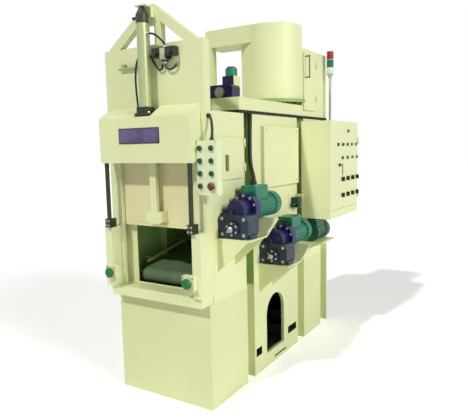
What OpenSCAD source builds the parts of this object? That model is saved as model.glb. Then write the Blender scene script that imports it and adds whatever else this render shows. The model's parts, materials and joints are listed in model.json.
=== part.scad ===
// Conveyor sandblasting machine: base, blasting chamber with a lift door, separator, filter and controls.
// Millimetres. The origin is on the floor at the middle of the base; -Y is the front, +X the drive side.

/* [Body] */
// Width of the body
body_w = 730; // [700:5:760]
// Depth of the body, front to back
body_d = 1930; // [1900:5:1960]
// Height of the lower base
base_h = 670; // [650:5:690]
// Height of the top of the chamber
body_h = 1834; // [1820:2:1850]
// Thickness of the sheet walls
wall = 6; // [4:1:8]
// Distance of the chamber's front behind the base's front
setback = 45; // [40:1:50]
// Depth of the upright grooves in the side walls
groove_d = 55; // [45:1:60]

/* [Base openings] */
// Width of the arched clean-out opening
arch_w = 286; // [250:2:300]
// Height of the arched opening, sill to crown
arch_h = 424; // [380:2:440]
// Height of the lower edge of the arched opening
arch_z = 103; // [90:1:120]
// Height of the fork pockets
pocket_h = 58; // [50:1:64]
// Height of the lower edge of the fork pockets
pocket_z = 132; // [110:1:150]

/* [Portal] */
// Width of the portal in front of the chamber
portal_w = 754; // [744:2:764]
// Distance of the portal's face in front of the base
portal_out = 22; // [18:1:26]
// Clear width of the door opening
opening_w = 580; // [560:2:600]
// Distance of the lower wings in front of the base
wing_out = 100; // [90:1:110]
// Height of the top of the lower wings
wing_z = 1122; // [1110:1:1130]
// Distance of the sill in front of the base
sill_out = 75; // [65:1:85]
// Height of the sill above the base
sill_h = 65; // [60:1:70]

/* [Hood] */
// Width of the hood over the door
hood_w = 700; // [690:2:710]
// Distance of the hood's face in front of the base
hood_out = 130; // [126:1:136]
// Height of the hood's lower edge
hood_z = 1533; // [1520:1:1545]
// Height of the hood's face
hood_h = 272; // [262:1:280]
// Rise of the hood's sloping top
hood_rise = 67; // [60:1:74]

/* [Gable] */
// Height of the gable's shoulders
shoulder_z = 2232; // [2210:2:2250]
// Height of the gable's peak
peak_z = 2464; // [2440:2:2480]
// Width of the flat at the peak
peak_w = 90; // [80:1:100]
// Width of the gable's two posts
post_w = 48; // [42:1:54]

/* [Lift door] */
// Width of the lift door
door_w = 640; // [620:2:650]
// Height of the lift door
door_h = 500; // [480:2:510]
// Thickness of the lift door
door_t = 30; // [26:1:32]
// Height of the raised door's lower edge
door_z = 1130; // [1124:1:1136]
// Diameter of the guide rods
rod_d = 28; // [24:1:28]
// Distance between the guide rods
rod_gap = 650; // [640:2:652]
// Diameter of the cylinder barrel
barrel_d = 70; // [62:1:72]
// Diameter of the piston rod
piston_d = 20; // [16:1:24]
// Height of the cylinder's lower flange
cylinder_z = 1812; // [1808:1:1818]
// Length of the cylinder over its end caps
cylinder_l = 583; // [570:1:586]

/* [Controls] */
// Diameter of the two palm buttons
palm_d = 64; // [56:1:68]
// Travel of the palm buttons
palm_travel = 8; // [5:0.5:10]
// Width of the button box
box_w = 140; // [136:1:146]
// Height of the button box
box_h = 310; // [300:1:320]
// Depth of the button box
box_t = 54; // [48:1:60]
// Diameter of the push button caps
button_d = 28; // [24:1:30]
// Travel of the push buttons
button_travel = 4; // [3:0.5:5]
// Diameter of the emergency stop
estop_d = 46; // [40:1:50]
// Travel of the emergency stop
estop_travel = 5; // [4:0.5:6]

/* [Drives] */
// Width of the gearbox housings
gearbox_w = 212; // [200:2:220]
// Height of the gearbox housings
gearbox_h = 148; // [140:1:152]
// Length of the gearbox housings
gearbox_l = 130; // [120:1:140]
// Diameter of the motors
motor_d = 164; // [150:2:170]
// Length of the motors
motor_l = 250; // [230:2:260]
// Thickness of the motor shelves
shelf_t = 10; // [8:1:12]
// Diameter of the output shafts
shaft_d = 32; // [28:1:36]
// Diameter of the belt rollers
roller_d = 90; // [80:1:96]
// Thickness of the conveyor belt
belt_t = 8; // [6:1:10]

/* [Control cabinet] */
// Width of the control cabinet
cabinet_w = 670; // [650:2:680]
// Height of the control cabinet
cabinet_h = 765; // [750:1:780]
// Depth of the control cabinet behind its door
cabinet_t = 226; // [210:2:236]
// Height of the cabinet's lower edge
cabinet_z = 1040; // [1030:1:1046]
// Thickness of the cabinet's door
leaf_t = 16; // [14:1:20]
// Diameter of the selector knobs
knob_d = 36; // [30:1:38]

/* [Separator] */
// Height of the plenum box on the chamber
plenum_h = 82; // [74:1:88]
// Outside diameter of the separator drum
drum_d = 500; // [480:2:510]
// Height of the separator drum above its foot
drum_h = 597; // [584:1:614]
// Height of the transfer duct
duct_h = 134; // [120:1:144]
// Depth of the transfer duct
duct_t = 245; // [230:1:250]
// Height of the filter box
filter_h = 533; // [516:1:546]
// Diameter of the tower lamp's lenses
lens_d = 58; // [50:1:62]

/* [Hidden] */

over = 1;
gap = 0.3;
run_fit = 0.05;
half_w = body_w / 2;
front_y = -body_d / 2;
back_y = body_d / 2;
face_y = front_y + setback;
portal_y = front_y - portal_out;
sill_z = base_h + sill_h;
skin = wall * 2 / 3;
$fn = 40;

cream = [0.84, 0.87, 0.68];
dark = [0.13, 0.15, 0.12];
steel = [0.72, 0.73, 0.7];
teal = [0.05, 0.42, 0.36];
blue = [0.16, 0.13, 0.42];
green = [0.05, 0.38, 0.24];

// Box from its lowest corner to its highest corner
module block(a, b) {
    translate(a) cube([for (i = [0:2]) b[i] - a[i]]);
}

// Profile drawn in Y and Z, carried along X from x0 to x1
module across(points, x0, x1) {
    translate([x0, 0, 0]) rotate([90, 0, 90]) linear_extrude(x1 - x0) polygon(points);
}

// Profile drawn in X and Z, carried along Y from y0 to y1
module along(points, y0, y1) {
    translate([0, y1, 0]) rotate([90, 0, 0]) linear_extrude(y1 - y0) polygon(points);
}

module rod_x(p, d, l) { translate(p) rotate([0, 90, 0]) cylinder(d = d, h = l); }
module rod_y(p, d, l) { translate(p) rotate([-90, 0, 0]) cylinder(d = d, h = l); }
module rod_z(p, d, l) { translate(p) cylinder(d = d, h = l); }

function unit(v) = v / norm(v);

// Curve through the points of p with n steps between two of them; its first and last stretch are straight
function smooth_path(p, n) = [for (i = [0:len(p) - 2]) for (k = [0:n - 1]) let (t = k / n,
    a = p[max(i - 1, 0)], b = p[i], c = p[i + 1], e = p[min(i + 2, len(p) - 1)])
    i == 0 || i == len(p) - 2 ? b + (c - b) * t :
    (b * 2 + (c - a) * t + (a * 2 - b * 5 + c * 4 - e) * t * t + (b * 3 - a - c * 3 + e) * t * t * t) / 2,
    p[len(p) - 1]];

// Round tube of diameter d swept through the points of path p, with s sides
module tube(p, d, s = 8) {
    n = len(p);
    side = cross(unit(p[1] - p[0]), [0.31, 0.91, 0.27]);
    rings = [for (i = [0:n - 1]) let (t = unit(p[min(i + 1, n - 1)] - p[max(i - 1, 0)]),
        u = unit(cross(t, cross(side, t))), v = cross(t, u))
        for (k = [0:s - 1]) p[i] + (u * cos(k * 360 / s) + v * sin(k * 360 / s)) * d / 2];
    walls = [for (i = [0:n - 2]) for (k = [0:s - 1]) let (m = (k + 1) % s)
        for (f = [[i * s + k, i * s + m, (i + 1) * s + m], [i * s + k, (i + 1) * s + m, (i + 1) * s + k]]) f];
    ends = concat([[for (k = [s - 1:-1:0]) k]], [[for (k = [0:s - 1]) (n - 1) * s + k]]);
    polyhedron(rings, concat([for (f = walls) [f[0], f[2], f[1]]], [for (f = ends) [for (k = [len(f) - 1:-1:0]) f[k]]]));
}

// Grooves along the side walls: where each begins and ends, as shares of the body's depth
groove_share = [[0.230, 0.283], [0.658, 0.725], [0.917, 0.988]];
function depth(s) = front_y + s * body_d;
function side_line(i, y0) = concat([[half_w - i, y0 + i]],
    [for (g = groove_share) each [[half_w - i, depth(g[0]) - i], [half_w - groove_d - i, depth(g[0]) - i],
        [half_w - groove_d - i, depth(g[1]) + i], [half_w - i, depth(g[1]) + i]]],
    [[half_w - i, back_y - i]]);
function flip(p) = [for (k = [len(p) - 1:-1:0]) [-p[k][0], p[k][1]]];
function outline(i, y0) = concat(side_line(i, y0), flip(side_line(i, y0)));

// Base
bay_y0 = depth(groove_share[0][1]);
bay_l = depth(groove_share[1][0]) - bay_y0;
pocket_share = [[0.03, 0.145], [0.745, 0.957]];
arch_y = bay_y0 + 0.448 * bay_l;
arch_rim = 24;
slot_share = [0.425, 0.692];
slot_z = 28;
slot_h = 14;
deck_edge = 96;
deck_set = 20;
deck_y = face_y + wall + deck_set;
deck_l = 640;

module arch_shape(extra) {
    r = arch_w / 2 + extra;
    translate([arch_y, arch_z + arch_h - arch_w / 2]) circle(r);
    translate([arch_y - r, arch_z - extra]) square([2 * r, arch_h - arch_w / 2 + extra]);
}

module side_cut(x0, x1) {
    translate([x0, 0, 0]) rotate([90, 0, 90]) linear_extrude(x1 - x0) children();
}

module base_housing() {
    color(cream) difference() {
        union() {
            difference() {
                linear_extrude(base_h) polygon(outline(0, front_y));
                translate([0, 0, wall]) linear_extrude(base_h - 2 * wall) polygon(outline(wall, front_y));
                block([deck_edge - half_w, deck_y, base_h - wall - over],
                    [half_w - deck_edge, deck_y + deck_l, base_h + over]);
            }
            for (s = pocket_share)
                block([-half_w, bay_y0 + s[0] * bay_l - skin, pocket_z - skin],
                    [half_w, bay_y0 + s[1] * bay_l + skin, pocket_z + pocket_h + skin]);
            side_cut(half_w - arch_rim, half_w) arch_shape(skin);
        }
        for (s = pocket_share)
            block([-half_w - over, bay_y0 + s[0] * bay_l, pocket_z],
                [half_w + over, bay_y0 + s[1] * bay_l, pocket_z + pocket_h]);
        side_cut(half_w - arch_rim - over, half_w + over) arch_shape(0);
        block([half_w - wall - over, bay_y0 + slot_share[0] * bay_l, slot_z],
            [half_w + over, bay_y0 + slot_share[1] * bay_l, slot_z + slot_h]);
    }
}

// Conveyor inside the chamber
partition_set = 800;
partition_y = front_y + partition_set;
roller_set = [700, 130];
roller_rise = [206, 106];
roller_z = [for (rise = roller_rise) base_h + rise];
rollers = [for (k = [0, 1]) [front_y + roller_set[k], roller_z[k]]];
lance_set = 196;
lance_y = front_y + lance_set;
lance_rise = 463;
lance_z = base_h + lance_rise;
boss_d = 76;
boss_l = 20;
roller_l = 470;
belt_w = 450;
mouth_w = 464;
mouth_z = sill_z + wall;
mouth_top = door_z - wall;
axles = concat(rollers, [[lance_y, lance_z]]);
journal_x = half_w - wall - boss_l / 2;
bore_x = journal_x + boss_l / 4;

// Access door in the front bay
hatch_w = 348;
hatch_h = 262;
hatch_drop = 416;
hatch_z = body_h - hatch_drop;
hatch_set = 24;
hatch_y = depth(groove_share[0][0]) - hatch_set;
hatch_t = 12;
hatch_lap = 20;
hinge_d = 11;
hinge_l = 26;
pin_d = 6;

module chamber_shell() {
    color(cream) difference() {
        union() {
            difference() {
                translate([0, 0, base_h]) linear_extrude(body_h - base_h) polygon(outline(0, face_y));
                translate([0, 0, base_h - over]) linear_extrude(body_h - base_h + over - wall)
                    polygon(outline(wall, face_y));
            }
            block([wall / 2 - half_w, partition_y, base_h], [half_w - wall / 2, partition_y + wall, body_h - wall / 2]);
            for (a = axles) for (s = [-1, 1])
                rod_x([s * (half_w - wall / 2 - boss_l / 2) - boss_l / 2, a[0], a[1]], boss_d, boss_l);
        }
        block([-mouth_w / 2, face_y - over, mouth_z], [mouth_w / 2, face_y + wall + over, mouth_top]);
        for (a = axles) rod_x([-bore_x, a[0], a[1]], shaft_d + 2 * run_fit, 2 * bore_x);
        for (a = [axles[0], axles[2]]) rod_x([0, a[0], a[1]], shaft_d + 2 * run_fit, half_w + over);
        block([half_w - wall - over, hatch_y - hatch_w + hatch_lap, hatch_z + hatch_lap],
            [half_w + over, hatch_y - hatch_lap, hatch_z + hatch_h - hatch_lap]);
    }
    color(cream) hinge_fixed(half_w, hatch_y, hatch_z, hatch_h, hatch_t);
}

// Two hinge knuckles with their pins, on a wall whose face is at x; the leaf is t thick
hinge_share = [0.16, 0.76];
module hinge_fixed(x, y, z, h, t) {
    for (s = hinge_share) {
        rod_z([x + t + hinge_d / 2, y + hinge_d / 2, z + s * h], hinge_d, hinge_l);
        rod_z([x + t + hinge_d / 2, y + hinge_d / 2, z + s * h], pin_d, 2 * hinge_l);
        block([x, y + hinge_d / 2, z + s * h], [x + t + hinge_d / 2, y + hinge_d, z + s * h + hinge_l]);
    }
}

module hinge_moving(x, y, z, h, t) {
    for (s = hinge_share) difference() {
        union() {
            rod_z([x + t + hinge_d / 2, y + hinge_d / 2, z + s * h + hinge_l + gap], hinge_d, hinge_l);
            block([x + t, y - hinge_d, z + s * h + hinge_l + gap],
                [x + t + hinge_d / 2, y + hinge_d / 2, z + s * h + 2 * hinge_l + gap]);
        }
        rod_z([x + t + hinge_d / 2, y + hinge_d / 2, z + s * h], pin_d + 2 * run_fit, 3 * hinge_l);
    }
}

// Sheet pan: a face at x1 with folded edges back to x0
module pan(x0, x1, y0, y1, z0, z1, t) {
    difference() {
        block([x0, y0, z0], [x1, y1, z1]);
        block([x0 - over, y0 + t, z0 + t], [x1 - t, y1 - t, z1 - t]);
    }
}

lever_w = 26;
lever_h = 98;
lever_t = 9;
lever_set = 225;
lever_y = hatch_y - lever_set;
module access_door() {
    x0 = half_w + gap;
    color(cream) pan(x0, half_w + hatch_t, hatch_y - hatch_w, hatch_y, hatch_z, hatch_z + hatch_h, wall / 2);
    color(cream) hinge_moving(half_w, hatch_y, hatch_z, hatch_h, hatch_t);
    color(dark) block([half_w + hatch_t, lever_y, hatch_z + (hatch_h - lever_h) / 3],
        [half_w + hatch_t + lever_t, lever_y + lever_w, hatch_z + (hatch_h - lever_h) / 3 + lever_h]);
}

// Portal
wing_w = 60;
jamb_top = 1600;
slot_lap = 42;
door_set = 27;
door_y = portal_y + door_set;
slot_play = 4;
palm_x = 307;
palm_rise = 99;
palm_z = sill_z + palm_rise;
holder_w = 86;
holder_t = 34;
palm_bore = 22;
wing_y = front_y - wing_out;

module front_frame() {
    color(cream) difference() {
        union() {
            for (s = [0, 1]) mirror([s, 0, 0]) {
                difference() {
                    block([portal_w / 2 - wing_w, wing_y, sill_z], [portal_w / 2, face_y, wing_z]);
                    block([portal_w / 2 - wing_w + wall, wing_y + wall, sill_z + wall],
                        [portal_w / 2 - wall, face_y + over, wing_z - wall]);
                }
                block([opening_w / 2, portal_y, sill_z], [portal_w / 2, face_y, jamb_top]);
                block([palm_x - holder_w / 2, wing_y - holder_t, palm_z - holder_w / 2],
                    [palm_x + holder_w / 2, wing_y + wall, palm_z + holder_w / 2]);
            }
            difference() {
                block([wall - half_w, front_y - sill_out, base_h], [half_w - wall, face_y, sill_z]);
                block([2 * wall - half_w, front_y - sill_out + wall, base_h + wall],
                    [half_w - 2 * wall, face_y + over, sill_z - wall]);
            }
        }
        for (s = [0, 1]) mirror([s, 0, 0]) {
            block([opening_w / 2 - over, door_y - slot_play, sill_z],
                [door_w / 2 + slot_play, door_y + door_t + slot_play, jamb_top + over]);
            rod_y([palm_x, wing_y - holder_t - over, palm_z], palm_bore + 2 * run_fit, holder_t - wall);
        }
    }
}

// Mushroom-headed button pressed towards +Y: p is the middle of the face that it sits in front of
module mushroom(p, d, stem, travel, dome) {
    translate([p[0], p[1] - travel - gap, p[2]]) rotate([90, 0, 0]) rotate_extrude($fn = 48)
        polygon([[0, 0], [d * 0.42, 0], [d / 2, dome * 0.25], [d / 2, dome * 0.5], [d * 0.44, dome * 0.75],
            [d * 0.32, dome * 0.92], [0, dome]]);
    rod_y([p[0], p[1] - travel - 2 * gap, p[2]], stem, 3 * travel);
}

palm_dome = 22;
module palm_button(s) {
    color(green) mushroom([s * palm_x, wing_y - holder_t, palm_z], palm_d, palm_bore, palm_travel, palm_dome);
}
module palm_button_left() { palm_button(-1); }
module palm_button_right() { palm_button(1); }

module hood_cover() {
    y0 = front_y - hood_out;
    z1 = hood_z + hood_h;
    color(cream) difference() {
        across([[y0, hood_z], [portal_y, hood_z], [portal_y, z1 + hood_rise], [y0, z1]], -hood_w / 2, hood_w / 2);
        across([[y0 + skin, hood_z - over], [portal_y + over, hood_z - over],
            [portal_y + over, z1 + hood_rise - skin], [y0 + skin, z1 - skin]], skin - hood_w / 2, hood_w / 2 - skin);
        block([-flange_w / 2 - slot_play, cylinder_y - flange_t / 2 - slot_play, cylinder_z - slot_play],
            [flange_w / 2 + slot_play, portal_y + over, z1 + hood_rise + over]);
    }
}

shoulder_in = 32;
truss_t = 42;
plate_t = 8;
truss_w = 60;
post_x = 36;
post_end = post_x + post_w;
web_z = shoulder_z - skin / 2;
web_foot = door_z + door_h + truss_t / 2;
slot_top = 2350;
brace_z = 2385;
brace_h = 55;
brace_l = 83;
slope = (peak_z - shoulder_z) / (portal_w / 2 - shoulder_in - peak_w / 2);
function brow(x, drop) = peak_z - (x - peak_w / 2) * slope - drop;
drop = truss_w * sqrt(1 + slope * slope);

module gable_frame() {
    top = [[portal_w / 2 - shoulder_in, shoulder_z], [peak_w / 2, peak_z - plate_t],
        [peak_w / 2 - plate_t, peak_z], [plate_t - peak_w / 2, peak_z], [-peak_w / 2, peak_z - plate_t],
        [shoulder_in - portal_w / 2, shoulder_z]];
    color(cream) {
        block([-portal_w / 2, portal_y, jamb_top], [portal_w / 2, portal_y + plate_t, shoulder_z]);
        difference() {
            along(concat(top, [[shoulder_in - portal_w / 2, shoulder_z - truss_w],
                [portal_w / 2 - shoulder_in, shoulder_z - truss_w]]), portal_y, portal_y + truss_t);
            for (s = [0, 1]) mirror([s, 0, 0]) along([[post_end, web_z],
                [peak_w / 2 + (peak_z - drop - web_z) / slope, web_z], [post_end, brow(post_end, drop)]],
                portal_y - over, portal_y + truss_t + over);
            block([-post_x, portal_y - over, web_z], [post_x, portal_y + truss_t + over, slot_top]);
        }
        for (s = [0, 1]) mirror([s, 0, 0]) {
            block([portal_w / 2 - plate_t, portal_y, jamb_top], [portal_w / 2, face_y, shoulder_z]);
            difference() {
                block([post_x, portal_y, web_foot], [post_end, portal_y + truss_t, shoulder_z]);
                block([post_x + skin, portal_y + plate_t, web_foot - over],
                    [post_end - skin, portal_y + truss_t + over, shoulder_z - truss_w]);
            }
        }
        across([[portal_y - brace_l, brace_z + brace_h + gap], [portal_y - brace_l, brace_z + brace_h + plate_t],
            [portal_y + over, brace_z + brace_h + plate_t], [portal_y + over, brace_z],
            [cylinder_y + cap_d / 2 + gap, brace_z], [cylinder_y + cap_d / 2 + gap, brace_z + brace_h + gap]],
            -post_x, post_x);
    }
}

// Door cylinder, its rod and the yoke on the guide rods
cylinder_set = 64;
cylinder_y = portal_y - cylinder_set;
flange_w = 112;
flange_t = 76;
flange_h = 16;
cap_w = 76;
cap_h = 36;
cap_d = 74;
top_cap_h = 50;
bracket_t = 12;
nub_d = 20;
nub_l = 68;
nub_z = 2380;
yoke_z = 1640;
yoke_h = 60;
yoke_t = 34;
bush_t = 5;
bush_d = rod_d + 2 * bush_t;
travel = door_z - sill_z;

module cylinder_barrel() {
    z1 = cylinder_z + cylinder_l;
    color(dark) difference() {
        union() {
            block([-flange_w / 2, cylinder_y - flange_t / 2, cylinder_z],
                [flange_w / 2, cylinder_y + flange_t / 2, cylinder_z + flange_h]);
            block([-cap_w / 2, cylinder_y - cap_w / 2, cylinder_z + flange_h],
                [cap_w / 2, cylinder_y + cap_w / 2, cylinder_z + flange_h + cap_h]);
            block([-flange_w / 2, cylinder_y + flange_t / 2 - bracket_t, cylinder_z],
                [flange_w / 2, portal_y, cylinder_z + flange_h]);
            rod_z([0, cylinder_y, cylinder_z + flange_h], barrel_d, cylinder_l - flange_h - over);
            rod_z([0, cylinder_y, z1 - top_cap_h], cap_d, top_cap_h);
            translate([0, cylinder_y, z1 - over]) cylinder(d1 = cap_d, d2 = 1.4 * nub_d,
                h = brace_z + brace_h - z1 + over);
            rod_x([-nub_l, cylinder_y, nub_z], nub_d, nub_l);
        }
        rod_z([0, cylinder_y, cylinder_z - over], piston_d + 2 * run_fit, cylinder_l - top_cap_h);
    }
}

module piston_rod() {
    color(steel) rod_z([0, cylinder_y, yoke_z + yoke_h], piston_d,
        cylinder_z + cylinder_l - top_cap_h - travel / 8 - yoke_z - yoke_h);
}

rod_top = hood_z + hood_h - flange_h;
rod_set = 25;
rod_y0 = front_y - hood_out + rod_set;
block_w = 40;
block_h = 56;
module guide_rods() {
    color(dark) for (s = [-1, 1])
        rod_z([s * rod_gap / 2, rod_y0, wing_z + block_h / 4], rod_d, rod_top - wing_z - block_h / 4 - skin);
}

module guide_blocks() {
    color(dark) for (s = [-1, 1]) difference() {
        union() {
            block([s * rod_gap / 2 - block_w / 2, rod_y0 - block_w / 2, wing_z],
                [s * rod_gap / 2 + block_w / 2, rod_y0 + block_w, wing_z + block_h]);
            block([s * rod_gap / 2 - block_w / 2, rod_y0 - block_w / 2, rod_top - block_h / 2],
                [s * rod_gap / 2 + block_w / 2, portal_y, rod_top]);
        }
        rod_z([s * rod_gap / 2, rod_y0, wing_z + block_h / 4], rod_d, rod_top - wing_z - block_h / 4 - skin);
    }
}

bar_w = 50;
bar_t = 24;
foot_w = 122;
foot_h = 78;
foot_set = 24;
foot_z = door_z + foot_set;
foot_r = 34;
module door_yoke() {
    y1 = portal_y - slot_play;
    color(cream) difference() {
        union() {
            block([-rod_gap / 2, cylinder_y - yoke_t / 2, yoke_z],
                [rod_gap / 2, cylinder_y + yoke_t / 2, yoke_z + yoke_h]);
            for (s = [-1, 1]) rod_z([s * rod_gap / 2, rod_y0, yoke_z], bush_d, yoke_h);
            block([-bar_w / 2, cylinder_y, yoke_z], [bar_w / 2, y1, yoke_z + yoke_h]);
            block([-bar_w / 2, y1 - bar_t, foot_z + foot_h / 2], [bar_w / 2, y1, yoke_z + yoke_h]);
            translate([0, door_y, foot_z]) rotate([90, 0, 0]) linear_extrude(door_y - y1 + bar_t) {
                translate([-foot_w / 2, foot_r]) square([foot_w, foot_h - foot_r]);
                translate([foot_r - foot_w / 2, 0]) square([foot_w - 2 * foot_r, foot_h]);
                for (s = [-1, 1]) translate([s * (foot_w / 2 - foot_r), foot_r]) circle(foot_r);
            }
        }
        for (s = [-1, 1])
            rod_z([s * rod_gap / 2, rod_y0, yoke_z - over], rod_d + 2 * run_fit, yoke_h + 2 * over);
    }
}

lip_h = 18;
lip_t = 10;
module lift_door() {
    color(cream) {
        difference() {
            block([-door_w / 2, door_y, door_z], [door_w / 2, door_y + door_t, door_z + door_h]);
            block([skin - door_w / 2, door_y + skin, door_z + skin],
                [door_w / 2 - skin, door_y + door_t + over, door_z + door_h - skin]);
        }
        block([lip_h - opening_w / 2, door_y - lip_t, door_z], [opening_w / 2 - lip_h, door_y, door_z + lip_h]);
    }
}

// Valve with two coils, and its hoses
valve_x = 128;
valve_z = 2136;
valve_w = 62;
valve_h = 64;
valve_t = 46;
coil_w = 52;
coil_h = 52;
port_t = 26;
port_h = 17;
sensor_x = -245;
sensor_l = 150;
sensor_z = 2110;
sensor_d = 16;
feed_x = 204;
feed_z = 2100;
feed_d = 20;
module air_valve() {
    y1 = portal_y;
    color(steel) block([valve_x - valve_w / 2, y1 - valve_t, valve_z], [valve_x + valve_w / 2, y1, valve_z + valve_h]);
    color(dark) for (s = [-1, 1])
        block([valve_x + s * (valve_w + coil_w) / 2 - coil_w / 2, y1 - valve_t, valve_z + valve_h - coil_h],
            [valve_x + s * (valve_w + coil_w) / 2 + coil_w / 2, y1 - skin, valve_z + valve_h]);
    color(dark) for (s = [-1, 0, 1])
        rod_z([valve_x + s * valve_w / 3, y1 - valve_t / 2, valve_z - port_h], hose_d, port_h);
    color(steel) rod_x([sensor_x, y1 - valve_t / 3, sensor_z], sensor_d, sensor_l);
    color(steel) block([sensor_x + port_t, y1 - valve_t / 2, sensor_z], [sensor_x + 2 * port_t, y1, sensor_z + port_t]);
    color(dark) rod_y([feed_x, y1 - skin, feed_z], feed_d, skin);
}

hose_d = 12;
hose_up = [[35.3, -1051, 2283], [50, -1051, 2283], [84, -1046, 2274], [114, -1028, 2246], [128, -1014, 2222],
    [128, -1012, 2212], [128, -1012, 2200.3]];
hose_down = [[107.3, -1010, 2118.7], [107.3, -1010, 2104], [98, -1006, 2084], [72, -1001, 2082], [44, -1001, 2112],
    [10, -1001, 2164], [-24, -1001, 2192], [-50, -1006, 2192], [-68, -1020, 2160], [-77, -1034, 2109],
    [-74, -1046, 2040], [-68, -1051, 1970], [-62, -1051, 1900], [-58, -1051, 1868], [-51, -1051, 1846],
    [-38.3, -1051, 1846]];
hose_feed = [[128, -1010, 2118.7], [128, -1010, 2106], [136, -1009, 2086], [158, -1008, 2074], [184, -1008, 2080],
    [202, -1006, 2094], [204, -1000, 2100], [204, -991.3, 2100]];
module air_hoses() {
    color(dark) for (p = [hose_up, hose_down, hose_feed]) tube(smooth_path(p, 3), hose_d);
}

// Button box
box_x = hood_w / 2 + gap;
box_y = portal_y;
bezel_t = 3;
bezel_d = button_d + 2 * bezel_t;
bezel_h = 6;
stem_d = 10;
cap_l = 9;
row_share = [0.86, 0.63, 0.4, 0.17];
column_share = [0.205, 0.76];
box_drop = 185;
box_z = hood_z - box_drop;
function spot(c, r) = [box_x + column_share[c] * box_w, box_y - box_t, box_z + row_share[r] * box_h];
spots = [spot(0, 0), spot(0, 1), spot(0, 2), spot(0, 3), spot(1, 0), spot(1, 1), spot(1, 2)];
stop_spot = spot(1, 3);

module button_box() {
    color(cream) difference() {
        union() {
            difference() {
                block([box_x, box_y - box_t, box_z], [box_x + box_w, box_y, box_z + box_h]);
                block([box_x + skin, box_y - box_t + skin, box_z + skin],
                    [box_x + box_w - skin, box_y - skin, box_z + box_h - skin]);
            }
            for (p = spots) rod_y([p[0], p[1] - bezel_h, p[2]], bezel_d, bezel_h + skin);
            rod_y([stop_spot[0], stop_spot[1] - bezel_h / 2, stop_spot[2]], estop_d - bezel_h, bezel_h / 2 + skin);
        }
        for (p = spots) {
            rod_y([p[0], p[1] - bezel_h - over, p[2]], button_d + 2 * gap, bezel_h + over);
            rod_y([p[0], p[1] - over, p[2]], stem_d + 2 * run_fit, skin + 2 * over);
        }
        rod_y([stop_spot[0], stop_spot[1] - bezel_h, stop_spot[2]], stem_d + 2 * run_fit, 2 * bezel_h + skin);
    }
}

module push_button(p) {
    color(green) {
        rod_y([p[0], p[1] - button_travel - gap - cap_l, p[2]], button_d, cap_l);
        rod_y([p[0], p[1] - button_travel - 2 * gap, p[2]], stem_d, 3 * skin);
    }
}

estop_dome = 18;
module estop_button() {
    color("red") mushroom([stop_spot[0], stop_spot[1] - bezel_h / 2, stop_spot[2]], estop_d, stem_d, estop_travel, estop_dome);
}

// Rounded rectangle in the plane, its middle at the origin
module soft_square(w, h, r) {
    square([w, h - 2 * r], center = true);
    square([w - 2 * r, h], center = true);
    for (a = [-1, 1], b = [-1, 1]) translate([a * (w / 2 - r), b * (h / 2 - r)]) circle(r);
}

// Geared motors: y is the front of the gearbox, z its lower face
drive_x = half_w + gearbox_w / 2;
bore_set = [[20, 65], [5, 72]];
front_drive = [lance_y - gearbox_l / 2 - bore_set[0][0], lance_z - bore_set[0][1]];
middle_drive = [rollers[0][0] - gearbox_l / 2 - bore_set[1][0], rollers[0][1] - bore_set[1][1]];
motor_rise = 172;
corner_r = 46;
hub_d = 92;
hub_t = 16;
hub_cap = 34;
hub_rise = 62;
neck_d = 118;
neck_t = 96;
bell_d = 184;
bell_t = 60;
bore_l = 90;
vent_d = 26;
foot_pad = 24;

module gearbox(g, axle) {
    color(blue) difference() {
        union() {
            translate([drive_x, g[0] + gearbox_l, g[1] + gearbox_h / 2]) rotate([90, 0, 0])
                linear_extrude(gearbox_l) soft_square(gearbox_w, gearbox_h, corner_r);
            block([half_w, g[0] + foot_pad, g[1]], [half_w + gearbox_w, g[0] + gearbox_l - foot_pad, g[1] + foot_pad]);
            block([half_w, g[0] + foot_pad, g[1]], [drive_x, g[0] + gearbox_l - foot_pad, g[1] + gearbox_h]);
            rod_y([drive_x, g[0] - hub_t, g[1] + hub_rise], hub_d, 2 * hub_t);
            rod_y([drive_x, g[0] - 2 * hub_t, g[1] + hub_rise], hub_cap, 2 * hub_t);
            rod_y([drive_x, g[0] + gearbox_l - neck_t, g[1] + motor_rise], neck_d, neck_t);
            block([drive_x - neck_d / 2, g[0] + gearbox_l - neck_t, g[1] + gearbox_h / 2],
                [drive_x + neck_d / 2, g[0] + gearbox_l, g[1] + motor_rise]);
            rod_y([drive_x, g[0] + gearbox_l, g[1] + motor_rise], bell_d, bell_t);
            rod_z([drive_x - vent_d, g[0] + vent_d, g[1] + gearbox_h - over], vent_d, vent_d);
        }
        rod_x([half_w - over, axle[0], axle[1]], shaft_d + 2 * run_fit, bore_l + over);
    }
}

fin_count = 20;
fin_h = 9;
fin_t = 4;
cowl_l = 58;
terminal_w = 110;
terminal_l = 150;
terminal_h = 62;

// Finned motor along Y: p is the middle of its front face, d and l its size, h the terminal box's rise
module motor(p, d, l, h) {
    core = d - 2 * fin_h;
    color(teal) {
        rod_y(p, core, l);
        for (k = [0:fin_count - 1]) translate(p) rotate([0, k * 360 / fin_count, 0])
            block([-fin_t / 2, cowl_l / 2, core / 3], [fin_t / 2, l, d / 2 - over]);
        rod_y(p, d, cowl_l / 2 + over);
        rod_y([p[0], p[1] + l - over, p[2]], d, cowl_l + over);
        block([p[0] - terminal_w / 2, p[1] + fin_h, p[2] + core / 3],
            [p[0] + terminal_w / 2, p[1] + fin_h + terminal_l, p[2] + core / 2 + h]);
    }
}

module gearbox_front() { gearbox(front_drive, axles[2]); }
module gearbox_middle() { gearbox(middle_drive, axles[0]); }
module drive_motor(g) { motor([drive_x, g[0] + gearbox_l + bell_t, g[1] + motor_rise], motor_d, motor_l, terminal_h); }
module motor_front() { drive_motor(front_drive); }
module motor_middle() { drive_motor(middle_drive); }

rear_set = [120, 1250, 935];
rear_p = [half_w + rear_set[0], front_y + rear_set[1], rear_set[2]];
rear_share = 0.9;
rear_l = 190;
rear_box = 30;
module motor_rear() { motor(rear_p, rear_share * motor_d, rear_l, rear_box); }

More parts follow.
